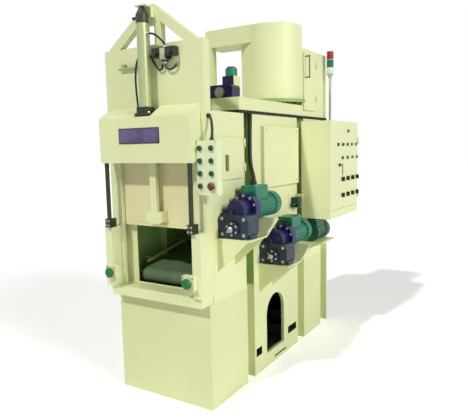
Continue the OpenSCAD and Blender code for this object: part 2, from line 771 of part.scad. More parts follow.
shelf_w = 230;
shelf_l = 212;
ramp_l = 160;
ramp_h = motor_rise - motor_d / 2 - gap;
gusset_h = 200;
gusset_t = 8;
shelf_lap = 12;
module shelf(g) {
    y0 = g[0] - shelf_lap;
    across([[y0, g[1] - shelf_t], [y0 + shelf_l, g[1] - shelf_t], [y0 + shelf_l + ramp_l, g[1] + ramp_h - shelf_t],
        [y0 + shelf_l + ramp_l, g[1] + ramp_h], [y0 + shelf_l - shelf_t / 2, g[1]], [y0, g[1]]],
        half_w, half_w + shelf_w);
    for (s = [0, 1]) translate([0, s * (shelf_l - gusset_t), 0]) along([[half_w, g[1] - shelf_t - gusset_h],
        [half_w + shelf_w - shelf_lap, g[1] - shelf_t], [half_w, g[1] - shelf_t]], y0, y0 + gusset_t);
}

module motor_shelves() {
    rear_z = rear_p[2] - rear_share * motor_d / 2;
    color(cream) {
        shelf(front_drive);
        shelf(middle_drive);
        block([half_w, rear_p[1] - shelf_lap, rear_z - shelf_t], [half_w + shelf_w, rear_p[1] + rear_l + cowl_l, rear_z]);
        for (y = [rear_p[1] - shelf_lap, rear_p[1] + rear_l])
            along([[half_w, rear_z - shelf_t - gusset_h / 2], [half_w + shelf_w - shelf_lap, rear_z - shelf_t],
                [half_w, rear_z - shelf_t]], y, y + gusset_t);
    }
}

// Shafts, rollers and belt
module axle(a, x1) { rod_x([-journal_x, a[0], a[1]], shaft_d, journal_x + x1); }
module drive_roller() {
    color(steel) {
        axle(axles[0], half_w + bore_l - shelf_t);
        rod_x([-roller_l / 2, axles[0][0], axles[0][1]], roller_d, roller_l);
    }
}
module tail_roller() {
    color(steel) {
        axle(axles[1], journal_x);
        rod_x([-roller_l / 2, axles[1][0], axles[1][1]], roller_d, roller_l);
    }
}

nozzle_count = 5;
nozzle_d = 24;
nozzle_l = 96;
collar_d = 44;
module nozzle_shaft() {
    pitch = roller_l / nozzle_count;
    color(steel) {
        axle(axles[2], half_w + bore_l - shelf_t);
        for (k = [0:nozzle_count - 1]) {
            rod_x([(k + 0.5) * pitch - roller_l / 2 - nozzle_d, lance_y, lance_z], collar_d, 2 * nozzle_d);
            rod_y([(k + 0.5) * pitch - roller_l / 2, lance_y, lance_z], nozzle_d, nozzle_l);
        }
    }
}

module belt_loop(r) {
    a = rollers[1];
    b = rollers[0];
    for (p = rollers) translate(p) circle(r);
    translate(a) rotate(atan2(b[1] - a[1], b[0] - a[0])) translate([0, -r]) square([norm(b - a), 2 * r]);
}
module conveyor_belt() {
    color(dark) side_cut(-belt_w / 2, belt_w / 2) difference() {
        belt_loop(roller_d / 2 + run_fit + belt_t);
        belt_loop(roller_d / 2 + run_fit);
    }
}

// Abrasive hopper hanging in the deck opening
hopper_w = body_w - 2 * deck_edge - 2 * slot_play;
hopper_y0 = deck_y + slot_play;
hopper_y1 = deck_y + deck_l - slot_play;
hopper_drop = 410;
hopper_z = base_h - hopper_drop;
outlet_l = 120;
rim_w = 14;
module abrasive_hopper() {
    mid = (hopper_y0 + hopper_y1 - outlet_l) / 2;
    t = skin;
    color(steel) difference() {
        union() {
            across([[hopper_y0, base_h], [hopper_y1, base_h], [mid + outlet_l, hopper_z], [mid, hopper_z]],
                -hopper_w / 2, hopper_w / 2);
            block([-hopper_w / 2 - rim_w, hopper_y0 - rim_w, base_h],
                [hopper_w / 2 + rim_w, hopper_y1 + rim_w, base_h + t]);
        }
        across([[hopper_y0 + t, base_h + t + over], [hopper_y1 - t, base_h + t + over],
            [mid + outlet_l - t, hopper_z + t], [mid + t, hopper_z + t]], t - hopper_w / 2, hopper_w / 2 - t);
        block([-outlet_l / 2, mid + 2 * t, hopper_z - over], [outlet_l / 2, mid + outlet_l - 2 * t, hopper_z + t + over]);
    }
}

// Service cover in the middle bay
cover_share = [0.17, 0.96];
cover_drop = 505;
cover_z = body_h - cover_drop;
cover_h = 426;
cover_t = 28;
bolt_d = 16;
bolt_t = 7;
module service_cover() {
    y0 = bay_y0 + cover_share[0] * bay_l;
    y1 = bay_y0 + cover_share[1] * bay_l;
    color(cream) {
        pan(half_w, half_w + cover_t, y0, y1, cover_z, cover_z + cover_h, wall / 2);
        for (s = [0.06, 0.94], k = [0.06, 0.94])
            rod_x([half_w + cover_t - over, y0 + s * (y1 - y0), cover_z + k * cover_h], bolt_d, bolt_t + over, $fn = 6);
    }
}

// Gasket and clamps, plenum and filter box
gasket_t = 20;
gasket_w = 24;
top_z = body_h + gasket_t;
plenum_set = 56;
plenum_y = depth(groove_share[0][0]) - plenum_set;
plenum_l = 992;
filter_x = -135;
filter_y = plenum_y + plenum_l;
filter_set = 25;
filter_l = back_y - filter_set - filter_y;
clamp_count = 34;
clamp_w = 22;

module plenum_clamps() {
    l = plenum_l + filter_l;
    color(dark) {
        difference() {
            block([-half_w, plenum_y, body_h], [half_w, plenum_y + plenum_l, top_z]);
            block([gasket_w - half_w, plenum_y + gasket_w, body_h - over],
                [half_w - gasket_w, plenum_y + plenum_l - gasket_w, top_z + over]);
        }
        difference() {
            block([filter_x, filter_y, body_h], [half_w, filter_y + filter_l, top_z]);
            block([filter_x + gasket_w, filter_y - over, body_h - over],
                [half_w - gasket_w, filter_y + filter_l - gasket_w, top_z + over]);
        }
        for (k = [0:clamp_count - 1])
            block([half_w - over, plenum_y + (k + 0.5) * l / clamp_count - clamp_w / 2, body_h],
                [half_w + bolt_t, plenum_y + (k + 0.5) * l / clamp_count + clamp_w / 2, top_z]);
    }
}

drum_x = 115;
drum_set = 28;
drum_y = plenum_y + plenum_l - drum_set;
collar_share = 0.84;
collar_h = 20;
rim_h = 26;
rim_out = 26;
bolt_count = 14;
drum_foot = top_z + plenum_h + collar_h;
drum_z = drum_foot + drum_h;
module d_shape(r, inset = 0) {
    translate([drum_x, drum_y]) intersection() {
        circle(r, $fn = 96);
        translate([-r, -r]) square([2 * r, r]);
    }
    translate([drum_x - r, drum_y - over]) square([2 * r, filter_y - drum_y + over - inset]);
}

duct_set = 5;
duct_y = drum_y - duct_set - duct_t;
duct_end = 60;
riser_w = 56;
riser_t = 70;
module separator_drum() {
    r = drum_d / 2;
    color(cream) {
        difference() {
            union() {
                translate([0, 0, drum_foot]) linear_extrude(drum_z - drum_foot) d_shape(r);
                translate([0, 0, drum_foot]) linear_extrude(rim_h) d_shape(r + rim_out);
                translate([0, 0, drum_foot - collar_h]) linear_extrude(collar_h + over) d_shape(r * collar_share);
            }
            translate([0, 0, drum_foot]) linear_extrude(drum_z - drum_foot - wall) d_shape(r - wall, wall);
            translate([0, 0, drum_foot - collar_h - over]) linear_extrude(collar_h + 2 * over)
                d_shape(r * collar_share - wall, wall);
            block([drum_x - r - over, duct_y + 2 * wall, drum_z - duct_h + wall],
                [drum_x - r / 2, duct_y + duct_t - wall, drum_z - wall]);
        }
        for (k = [0:bolt_count - 1]) let (a = 180 + (k + 0.5) * 180 / bolt_count)
            translate([drum_x + (r + rim_out / 2) * cos(a), drum_y + (r + rim_out / 2) * sin(a), drum_foot + rim_h - over])
                cylinder(d = bolt_d, h = bolt_t + over, $fn = 6);
    }
}

module transfer_duct() {
    z0 = drum_z - duct_h;
    color(cream) difference() {
        union() {
            block([-half_w, duct_y, z0], [duct_end, duct_y + duct_t, drum_z]);
            block([-half_w, duct_y, top_z + plenum_h], [riser_w - half_w, duct_y + riser_t, drum_z]);
        }
        block([wall - half_w, duct_y + wall, z0 + wall], [duct_end + over, duct_y + duct_t - wall, drum_z - wall]);
        block([wall - half_w, duct_y + wall, top_z + plenum_h - over],
            [riser_w - half_w - wall, duct_y + riser_t - wall, drum_z - wall]);
        translate([0, 0, z0 - over]) linear_extrude(duct_h + 2 * over) d_shape(drum_d / 2);
    }
}

module plenum_box() {
    z1 = top_z + plenum_h;
    color(cream) {
        difference() {
            block([-half_w, plenum_y, top_z], [half_w, filter_y, z1]);
            block([wall - half_w, plenum_y + wall, top_z - over], [half_w - wall, filter_y - wall, z1 - wall]);
            translate([0, 0, z1 - wall - over]) linear_extrude(wall + 2 * over)
                d_shape(drum_d / 2 * collar_share - wall, wall);
            block([wall - half_w, duct_y + wall, z1 - wall - over],
                [riser_w - half_w - wall, duct_y + riser_t - wall, z1 + over]);
        }
        for (s = [0, 1]) rod_y([half_w * (0.42 + 0.14 * s), plenum_y - bolt_t, top_z + collar_h], bolt_d, bolt_t + over, $fn = 6);
    }
}

door_y0 = 14;
door_w2 = 236;
filter_z = top_z + filter_h;
filter_door_rise = 46;
filter_door_z = top_z + filter_door_rise;
filter_door_h = 450;
bow_rise = 253;
bow_z = filter_door_z + bow_rise;
bow_l = 176;
bow_d = 12;
bow_out = 54;
module filter_box() {
    color(cream) difference() {
        block([filter_x, filter_y, top_z], [half_w, filter_y + filter_l, filter_z]);
        block([filter_x + wall, filter_y + wall, top_z - over],
            [half_w - wall, filter_y + filter_l - wall, filter_z - wall]);
        block([half_w - wall - over, filter_y + door_y0 + hatch_lap, filter_door_z + hatch_lap],
            [half_w + over, filter_y + door_y0 + door_w2 - hatch_lap, filter_door_z + filter_door_h - hatch_lap]);
    }
    color(cream) hinge_fixed(half_w, filter_y + door_y0 + door_w2, filter_door_z, filter_door_h, hatch_t);
}

module filter_door() {
    y1 = filter_y + door_y0 + door_w2;
    yb = filter_y + door_y0 + 2 * bow_d;
    color(cream) pan(half_w + gap, half_w + hatch_t, filter_y + door_y0, y1, filter_door_z,
        filter_door_z + filter_door_h, wall / 2);
    color(cream) hinge_moving(half_w, y1, filter_door_z, filter_door_h, hatch_t);
    color(dark) {
        for (s = [0, 1])
            rod_x([half_w + hatch_t - over, yb, bow_z + bow_d / 2 + s * (bow_l - bow_d)], bow_d, bow_out - hatch_t);
        rod_z([half_w + bow_out - bow_d / 2, yb, bow_z], bow_d, bow_l);
    }
}

// Geared motor on the plenum
top_set = [140, 520];
top_p = [top_set[0], front_y + top_set[1]];
top_w = 190;
top_l = 104;
top_h = 101;
stand_w = 92;
stand_h = 172;
dome_d = 84;
dome_h = 54;
module gearmotor_top() {
    z0 = top_z + plenum_h;
    y1 = top_p[1] + top_l;
    color(blue) {
        translate([top_p[0], y1, z0 + top_h / 2]) rotate([90, 0, 0])
            linear_extrude(top_l) soft_square(top_w, top_h, corner_r / 2);
        rod_y([top_p[0], top_p[1] - hub_t, z0 + top_h / 2], hub_d * 3 / 4, 2 * hub_t);
    }
    color(cream) block([top_p[0] - stand_w / 2, y1 - over, z0], [top_p[0] + stand_w / 2, y1 + stand_w, z0 + stand_h]);
    color(teal) {
        rod_z([top_p[0], y1 + stand_w / 2, z0 + stand_h - over], dome_d, dome_h);
        rod_z([top_p[0], y1 + stand_w / 2, z0 + stand_h + dome_h - 2 * over], dome_d * 3 / 4, dome_h / 4);
    }
}

// Tower lamp on the cabinet
standoff = 35;
cabinet_x = half_w + standoff;
cabinet_set = 20;
cabinet_y = back_y + cabinet_set - cabinet_w;
tower_set = [25, 110];
tower_p = [cabinet_x + tower_set[0], cabinet_y + cabinet_w - tower_set[1]];
pole_d = 22;
spine_d = 12;
pole_h = 379;
cone_h = 45;
clear_h = 50;
lens_h = 62;
ring_h = 8;
tower_z = cabinet_z + cabinet_h;
clear_z = tower_z + pole_h + cone_h;
green_z = clear_z + clear_h;
red_z = green_z + lens_h + ring_h;
module tower_pole() {
    color("white") translate([tower_p[0], tower_p[1], 0]) {
        translate([0, 0, tower_z]) cylinder(d = 2 * pole_d, h = ring_h);
        translate([0, 0, tower_z]) cylinder(d = pole_d, h = pole_h);
        translate([0, 0, tower_z + pole_h]) cylinder(d1 = pole_d, d2 = lens_d, h = cone_h);
        translate([0, 0, clear_z - over]) cylinder(d = spine_d, h = red_z + lens_h - clear_z + over);
        translate([0, 0, red_z - ring_h]) cylinder(d = lens_d - skin, h = ring_h);
        translate([0, 0, red_z + lens_h]) cylinder(d = lens_d, h = ring_h / 2);
    }
}
module lens(z, h) {
    difference() {
        rod_z([tower_p[0], tower_p[1], z], lens_d, h);
        rod_z([tower_p[0], tower_p[1], z - over], spine_d, h + 2 * over);
    }
}
module lens_clear() { color([0.92, 0.94, 0.92, 0.7]) lens(clear_z, clear_h); }
module lens_green() { color(green) lens(green_z, lens_h); }
module lens_red() { color("red") lens(red_z, lens_h); }

// Control cabinet
rail_share = [0.1, 0.84];
rail_h = 40;
rail_y = [440, 800];
leaf_x = cabinet_x + cabinet_t;
leaf_w = cabinet_w - hinge_d - wall / 2;
module control_cabinet() {
    color(cream) {
        difference() {
            block([cabinet_x, cabinet_y, cabinet_z], [leaf_x, cabinet_y + cabinet_w, cabinet_z + cabinet_h]);
            block([cabinet_x + wall, cabinet_y + wall, cabinet_z + wall],
                [leaf_x + over, cabinet_y + cabinet_w - wall, cabinet_z + cabinet_h - wall]);
        }
        for (s = rail_share)
            block([half_w, rail_y[0], cabinet_z + s * cabinet_h], [cabinet_x, rail_y[1], cabinet_z + s * cabinet_h + rail_h]);
        hinge_fixed(leaf_x, cabinet_y + leaf_w, cabinet_z, cabinet_h, leaf_t);
    }
}

knob_h = 12;
knob_stem = 10;
grip_t = 9;
grip_h = 12;
lamp_d = 26;
lamp_t = 12;
lamp_spots_share = concat([[0.593, 0.901]], [for (k = [0:4]) [0.242 + 0.164 * k, 0.758]],
    [for (k = [0:3]) [0.396 + 0.179 * k, 0.618]]);
selector_spots_share = [for (r = [0.393, 0.222], k = [0:3]) [0.396 + 0.179 * k, r]];
function on_leaf(s) = [leaf_x + leaf_t, cabinet_y + s[0] * cabinet_w, cabinet_z + s[1] * cabinet_h];
module cabinet_door() {
    color(cream) difference() {
        union() {
            pan(leaf_x + gap, leaf_x + leaf_t, cabinet_y, cabinet_y + leaf_w, cabinet_z, cabinet_z + cabinet_h, wall / 2);
            hinge_moving(leaf_x, cabinet_y + leaf_w, cabinet_z, cabinet_h, leaf_t);
        }
        for (s = selector_spots_share) rod_x(on_leaf(s) - [wall, 0, 0], knob_stem + 2 * run_fit, wall + over);
    }
    color(dark) block(on_leaf([0.27, 0.53]) - [over, 0, 0], on_leaf([0.31, 0.56]) + [grip_h, 0, 0]);
}

module pilot_lamps() {
    color(dark) for (s = lamp_spots_share) rod_x(on_leaf(s), lamp_d, lamp_t);
}

module selector(s) {
    p = on_leaf(s);
    color(dark) {
        rod_x([p[0] - wall, p[1], p[2]], knob_stem, wall + 2 * gap);
        rod_x([p[0] + gap, p[1], p[2]], knob_d, knob_h);
        block([p[0] + knob_h, p[1] - grip_t / 2, p[2] - knob_d / 2], [p[0] + knob_h + grip_h, p[1] + grip_t / 2, p[2] + knob_d / 2]);
    }
}

// Cables
cable_d = 26;
lead_d = 16;
cable_front = [[366, -437, 1833.7], [366, -437, 1810], [367, -446, 1700], [372, -457, 1560], [388, -474, 1490],
    [416, -504, 1446], [434, -524, 1418], [434, -524, 1400], [434, -524, 1375.3]];
cable_middle = [[365.3, -340, 1010], [384, -340, 1010], [412, -334, 1022], [440, -300, 1062], [458, -250, 1096],
    [468, -200, 1098], [468, -164, 1088], [468, -150, 1086], [468, -136.3, 1086]];
cable_rear = [[478, 660, 1039.7], [478, 660, 1032], [479, 650, 1020], [480, 630, 1018], [482, 560, 1018],
    [484, 480, 1018], [484, 444.3, 1018]];
cable_box = [[377.3, -950, 1800], [388, -950, 1800], [408, -962, 1772], [430, -988, 1726], [442, -1008, 1690],
    [442, -1012, 1674], [442, -1012, 1658.3]];
module power_cables() {
    color(dark) {
        tube(smooth_path(cable_front, 2), cable_d);
        for (p = [cable_middle, cable_rear, cable_box]) tube(smooth_path(p, 2), lead_d);
    }
}

base_housing();
chamber_shell();
front_frame();
hood_cover();
gable_frame();
cylinder_barrel();
guide_rods();
guide_blocks();
air_valve();
air_hoses();
button_box();
separator_drum();
transfer_duct();
plenum_box();
plenum_clamps();
filter_box();
tower_pole();
lens_red();
lens_green();
lens_clear();
control_cabinet();
motor_shelves();
gearbox_front();
motor_front();
gearbox_middle();
motor_middle();
motor_rear();
gearmotor_top();
service_cover();
power_cables();
abrasive_hopper();
conveyor_belt();
lift_door();
door_yoke();
piston_rod();
drive_roller();
tail_roller();
nozzle_shaft();
access_door();
filter_door();
cabinet_door();
pilot_lamps();
palm_button_left();
palm_button_right();
estop_button();
for (i = [1:7]) push_button(spots[i - 1]);
for (i = [1:8]) selector(selector_spots_share[i - 1]);
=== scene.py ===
# Conveyor sandblasting machine: finishes, cables, small fittings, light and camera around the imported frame
import json
import math

import bmesh
import bpy
from mathutils import Matrix, Vector


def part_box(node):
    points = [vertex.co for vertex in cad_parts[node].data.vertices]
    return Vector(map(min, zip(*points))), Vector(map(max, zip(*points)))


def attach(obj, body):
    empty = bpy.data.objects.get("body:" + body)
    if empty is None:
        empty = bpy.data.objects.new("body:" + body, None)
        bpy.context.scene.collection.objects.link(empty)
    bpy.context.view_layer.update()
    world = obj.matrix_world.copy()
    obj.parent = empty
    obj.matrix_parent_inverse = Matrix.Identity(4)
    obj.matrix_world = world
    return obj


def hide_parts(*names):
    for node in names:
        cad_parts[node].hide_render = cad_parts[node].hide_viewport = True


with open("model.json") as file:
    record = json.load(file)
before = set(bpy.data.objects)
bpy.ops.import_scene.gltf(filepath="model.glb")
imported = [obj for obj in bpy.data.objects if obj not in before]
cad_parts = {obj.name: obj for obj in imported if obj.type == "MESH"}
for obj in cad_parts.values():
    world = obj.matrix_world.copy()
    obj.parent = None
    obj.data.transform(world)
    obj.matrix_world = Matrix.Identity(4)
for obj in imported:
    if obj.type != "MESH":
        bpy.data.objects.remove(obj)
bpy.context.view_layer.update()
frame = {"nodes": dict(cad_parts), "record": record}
nodes = frame["nodes"]
mm = 0.001
screenGamma = 2.2
print("frame loaded,", len(nodes), "nodes")


def linear(colour):
    # 0-255 screen colour to the renderer's own values
    return tuple((part / 255) ** screenGamma for part in colour) + (1,)


def newMaterial(name):
    material = bpy.data.materials.new(name)
    material.use_nodes = True
    tree = material.node_tree
    shader = tree.nodes["Principled BSDF"]
    place = tree.nodes.new("ShaderNodeTexCoord")
    return material, tree, shader, place


def addNoise(tree, place, scale, detail, stretch=(1, 1, 1)):
    mapping = tree.nodes.new("ShaderNodeMapping")
    mapping.inputs["Scale"].default_value = stretch
    noise = tree.nodes.new("ShaderNodeTexNoise")
    noise.inputs["Scale"].default_value = scale
    noise.inputs["Detail"].default_value = detail
    tree.links.new(place.outputs["Object"], mapping.inputs["Vector"])
    tree.links.new(mapping.outputs["Vector"], noise.inputs["Vector"])
    return noise.outputs["Fac"]


def addRamp(tree, value, stops):
    ramp = tree.nodes.new("ShaderNodeValToRGB")
    for stop, (at, colour) in zip(ramp.color_ramp.elements, stops):
        stop.position = at
        stop.color = colour
    tree.links.new(value, ramp.inputs["Fac"])
    return ramp.outputs["Color"]


def addBump(tree, shader, value, strength, distance, edge):
    # fine relief, and edges that look rounded where an edge radius is given
    bump = tree.nodes.new("ShaderNodeBump")
    bump.inputs["Strength"].default_value = strength
    bump.inputs["Distance"].default_value = distance
    tree.links.new(value, bump.inputs["Height"])
    if edge:
        soft = tree.nodes.new("ShaderNodeBevel")
        soft.samples = 4
        soft.inputs["Radius"].default_value = edge
        tree.links.new(soft.outputs["Normal"], bump.inputs["Normal"])
    tree.links.new(bump.outputs["Normal"], shader.inputs["Normal"])


# What all sprayed finishes share, and all brushed ones
spray = {"toneFrom": 0.3, "toneTo": 0.7, "driftDetail": 4, "fineDetail": 2, "glossScale": 3,
         "glossSpread": 0.06, "peelDepth": 0.0004, "ior": 1.45}
brush = {"toneFrom": 0.35, "toneTo": 0.65, "detail": 2, "strength": 0.15, "depth": 0.0003}


def paint(name, look):
    # sprayed paint: slow drift of tone, fine orange peel, softened edges
    material, tree, shader, place = newMaterial(name)
    low = tuple(max(0, part - look["drift"]) for part in look["colour"])
    high = tuple(min(255, part + look["drift"]) for part in look["colour"])
    drift = addNoise(tree, place, look["driftScale"], spray["driftDetail"])
    tone = addRamp(tree, drift, [(spray["toneFrom"], linear(low)), (spray["toneTo"], linear(high))])
    tree.links.new(tone, shader.inputs["Base Color"])
    gloss = addNoise(tree, place, look["driftScale"] * spray["glossScale"], spray["fineDetail"])
    spread = tree.nodes.new("ShaderNodeMapRange")
    spread.inputs["To Min"].default_value = look["rough"] - spray["glossSpread"]
    spread.inputs["To Max"].default_value = look["rough"] + spray["glossSpread"]
    tree.links.new(gloss, spread.inputs["Value"])
    tree.links.new(spread.outputs["Result"], shader.inputs["Roughness"])
    shader.inputs["Metallic"].default_value = look.get("metal", 0)
    shader.inputs["IOR"].default_value = look.get("ior", spray["ior"])
    peel = addNoise(tree, place, look["peelScale"], spray["fineDetail"])
    addBump(tree, shader, peel, look["peel"], spray["peelDepth"], look.get("edge"))
    return material


def brushed(name, look):
    # bare metal with fine lines along one direction
    material, tree, shader, place = newMaterial(name)
    lines = addNoise(tree, place, look["scale"], brush["detail"], look["stretch"])
    low = tuple(max(0, part - look["drift"]) for part in look["colour"])
    tone = addRamp(tree, lines, [(brush["toneFrom"], linear(low)), (brush["toneTo"], linear(look["colour"]))])
    tree.links.new(tone, shader.inputs["Base Color"])
    shader.inputs["Metallic"].default_value = look["metal"]
    shader.inputs["Roughness"].default_value = look["rough"]
    addBump(tree, shader, lines, brush["strength"], brush["depth"], look["edge"])
    return material


# Kinds of surface; each finish takes one of them and says its colour and what differs
sheetCoat = {"drift": 3, "driftScale": 1.6, "rough": 0.42, "peelScale": 260, "peel": 0.08, "edge": 0.003}
innerCoat = {"drift": 8, "driftScale": 5, "rough": 0.6, "peelScale": 120, "peel": 0.2}
rodCoat = {"drift": 8, "driftScale": 14, "rough": 0.38, "peelScale": 300, "peel": 0.1, "edge": 0.0015}
castCoat = {"drift": 12, "driftScale": 12, "rough": 0.32, "peelScale": 160, "peel": 0.2, "edge": 0.002}
plateCoat = {"drift": 14, "driftScale": 14, "rough": 0.3, "peelScale": 400, "peel": 0.04}
plastic = {"drift": 5, "driftScale": 30, "rough": 0.25, "peelScale": 500, "peel": 0.04, "edge": 0.001,
           "ior": 1.5}
lampLens = {"drift": 8, "driftScale": 30, "rough": 0.18, "peelScale": 120, "peel": 0.1, "edge": 0.001,
            "ior": 1.5}

# Sheet metal
cream = paint("creamPaint", {**sheetCoat, "colour": (219, 223, 172)})
basePaint = paint("basePaint", {**sheetCoat, "colour": (208, 213, 161)})
doorPaint = paint("doorPaint", {**sheetCoat, "colour": (221, 215, 164)})
boxPaint = paint("boxPaint", {**sheetCoat, "colour": (218, 228, 186), "driftScale": 4, "rough": 0.4})
# painted shade: the chamber's inside gets a greener tone, the tint of its shade
insidePaintedShade = paint("insidePaintedShade", {**innerCoat, "colour": (186, 222, 140), "drift": 10, "rough": 0.7,
                                    "peel": 0.3})
# painted shade: olive for the recessed side grooves and for the shadow under the drum's flange
paintedShadeOlive = paint("paintedShadeOlive", {**innerCoat, "colour": (140, 164, 92)})
# painted shade: the base's inside in dark green
baseInPaintedShade = paint("baseInPaintedShade", {**innerCoat, "colour": (44, 66, 48)})
# painted shade: the fork pockets nearly black inside
pocketPaintedShade = paint("pocketPaintedShade", {**innerCoat, "colour": (30, 34, 26), "drift": 4, "rough": 0.7})

# Rods, handles, geared motors and the plate on the hood
blackPaint = paint("blackPaint", {**rodCoat, "colour": (40, 48, 28)})
handlePaint = paint("handlePaint", {**rodCoat, "colour": (112, 112, 70), "rough": 0.4})
gearPaint = paint("gearPaint", {**castCoat, "colour": (30, 28, 84)})
slatePaint = paint("slatePaint", {**castCoat, "colour": (34, 46, 62), "drift": 10, "rough": 0.3})
topPaint = paint("topPaint", {**castCoat, "colour": (22, 22, 58), "drift": 10})
motorPaint = paint("motorPaint", {**castCoat, "colour": (26, 112, 86), "rough": 0.34})
rearPaint = paint("rearPaint", {**castCoat, "colour": (20, 78, 60), "drift": 10, "rough": 0.34})
plateFace = paint("plateFace", {**plateCoat, "colour": (86, 72, 112)})
plateRim = paint("plateRim", {**plateCoat, "colour": (64, 58, 62), "drift": 5, "driftScale": 20,
                              "rough": 0.28, "metal": 0.4})

# Buttons, lamps, rubber and bare metal
greenPlastic = paint("greenPlastic", {**plastic, "colour": (10, 84, 44), "rough": 0.22})
darkGreenPlastic = paint("darkGreenPlastic", {**plastic, "colour": (12, 58, 40)})
palmPlastic = paint("palmPlastic", {**plastic, "colour": (14, 100, 50), "drift": 6, "rough": 0.24})
redPlastic = paint("redPlastic", {**plastic, "colour": (96, 34, 24), "rough": 0.28})
blackPlastic = paint("blackPlastic", {**plastic, "colour": (34, 40, 30), "drift": 4, "rough": 0.3,
                                      "peel": 0.05})
amberPlastic = paint("amberPlastic", {**plastic, "colour": (104, 104, 52)})
polePaint = paint("polePaint", {**plastic, "colour": (176, 180, 156), "drift": 4, "driftScale": 20,
                                "rough": 0.3, "peelScale": 400, "peel": 0.03})
redLens = paint("redLens", {**lampLens, "colour": (138, 40, 40)})
greenLens = paint("greenLens", {**lampLens, "colour": (16, 100, 72)})
clearLens = paint("clearLens", {**lampLens, "colour": (206, 214, 200), "drift": 5, "rough": 0.15})
rubber = paint("rubber", {"colour": (36, 42, 24), "drift": 6, "driftScale": 20, "rough": 0.62,
                          "peelScale": 340, "peel": 0.3, "edge": 0.001})
beltRubber = paint("beltRubber", {"colour": (84, 104, 74), "drift": 14, "driftScale": 8, "rough": 0.6,
                                  "peelScale": 90, "peel": 0.5, "edge": 0.001})
steel = brushed("brushedSteel", {"colour": (186, 190, 186), "drift": 26, "scale": 60, "stretch": (1, 20, 20),
                                 "rough": 0.32, "metal": 1, "edge": 0.001})
barrelMetal = brushed("barrelMetal", {"colour": (172, 184, 136), "drift": 18, "scale": 50,
                                      "stretch": (12, 12, 1), "rough": 0.36, "metal": 0.35, "edge": 0.001})

# One finish for each material slot of the frame, then the nodes that differ from their slot
finishes = {
    "cream": cream, "black_steel": blackPaint, "rubber": rubber, "steel": steel, "pole": polePaint,
    "red_lens": redLens, "green_lens": greenLens, "clear_lens": clearLens, "gear_blue": gearPaint,
    "motor_teal": motorPaint, "green_plastic": greenPlastic, "red_plastic": redPlastic,
    "black_plastic": blackPlastic}
special = {
    "base_housing": basePaint, "conveyor_belt": beltRubber, "motor_rear": rearPaint, "lift_door": doorPaint,
    "button_box": boxPaint, "gearmotor_top": topPaint, "estop_button": redPlastic,
    "palm_button_left": palmPlastic, "palm_button_right": palmPlastic}
special.update({name: darkGreenPlastic for name in nodes if name.startswith("push_button")})
for part in frame["record"]["subparts"]:
    name = part["node"]
    mesh = nodes[name].data
    mesh.materials.clear()
    mesh.materials.append(special.get(name, finishes[part["material_slot"]]))
print("finishes given to the frame")


def repaint(name, material, chosen):
    # the faces of one CAD node that a test picks get a material of their own
    data = nodes[name].data
    data.materials.append(material)
    slotIndex = len(data.materials) - 1
    for face in data.polygons:
        if chosen(face.center, face.normal):
            face.material_index = slotIndex


facing = 0.5  # a face looks along an axis when its normal has more than this of it

# Chamber: inside painted greener as painted shade, olive painted shade in the upright grooves of its sides
chamber = {"side": 0.3605, "lining": 0.3, "front": -0.9155, "back": -0.158, "roof": 1.8}
groove = {"side": 0.3645, "front": -0.5215, "back": -0.4185}


def insideChamber(centre, normal):
    within = abs(centre.x) < chamber["side"] and centre.y < chamber["back"]
    behindFront = centre.y > chamber["front"] or abs(normal.y) < facing
    outward = abs(centre.x) > chamber["lining"] and normal.x * centre.x > 0
    overRoof = centre.z > chamber["roof"] and normal.z > facing
    return within and behindFront and not outward and not overRoof


def inGroove(centre, normal):
    beside = chamber["lining"] < abs(centre.x) < groove["side"]
    return beside and groove["front"] < centre.y < groove["back"]


repaint("chamber_shell", insidePaintedShade, insideChamber)
repaint("chamber_shell", paintedShadeOlive, inGroove)

# Drum: olive painted shadow up to the top of its bolted flange
drum = {"flangeTop": 0.0465}
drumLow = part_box("separator_drum")[0]
repaint("separator_drum", paintedShadeOlive, lambda centre, normal: centre.z < drumLow.z + drum["flangeTop"])

# Base: dark painted shade inside, nearly black painted shade in the two fork pockets
base = {"middle": -0.01, "side": 0.3595, "groove": 0.309}
pocket = {"reach": 0.13, "low": 0.127, "high": 0.195, "spans": ((-0.402, -0.309), (0.115, 0.279))}


def insideBase(centre, normal):
    wall = abs(normal.z) < facing and abs(centre.x) < base["side"]
    inward = normal.x * centre.x + normal.y * (centre.y - base["middle"]) < 0
    grooveEnd = abs(centre.x) > base["groove"] and abs(normal.y) > facing
    return wall and inward and not grooveEnd


def inPocket(centre, normal):
    across = abs(normal.x) < facing and abs(centre.x) < pocket["reach"]
    level = pocket["low"] < centre.z < pocket["high"]
    return across and level and any(front < centre.y < back for front, back in pocket["spans"])


repaint("base_housing", baseInPaintedShade, insideBase)
repaint("base_housing", pocketPaintedShade, inPocket)

# Pneumatics: pale barrel between the black ends, and the valve's sensor rod
barrel = {"y": -1.051, "radius": 0.0352, "low": 1.866, "high": 2.345}
sensorRod = {"right": -0.09}
repaint("cylinder_barrel", barrelMetal, lambda centre, normal: barrel["low"] < centre.z < barrel["high"]
        and math.hypot(centre.x, centre.y - barrel["y"]) < barrel["radius"])
repaint("air_valve", barrelMetal, lambda centre, normal: centre.x < sensorRod["right"])

# Worm housings: slate, with the blue bell left behind them
housing = {"height": 0.15, "depth": 0.147}
for name in ("gearbox_front", "gearbox_middle"):
    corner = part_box(name)[0]
    repaint(name, slatePaint, lambda centre, normal, corner=corner: centre.z < corner.z + housing["height"]
            and centre.y < corner.y + housing["depth"])

# Handles and lock on the three doors
handles = {
    "access_door": {"material": handlePaint, "face": 0.3772, "front": -0.80, "back": -0.72},
    "filter_door": {"material": handlePaint, "face": 0.378, "front": 0.42, "back": 0.47},
    "cabinet_door": {"material": blackPaint, "face": 0.6425, "front": 0.31, "back": 0.54}}
for name, grip in handles.items():
    repaint(name, grip["material"], lambda centre, normal, grip=grip: centre.x > grip["face"]
            and grip["front"] < centre.y < grip["back"])

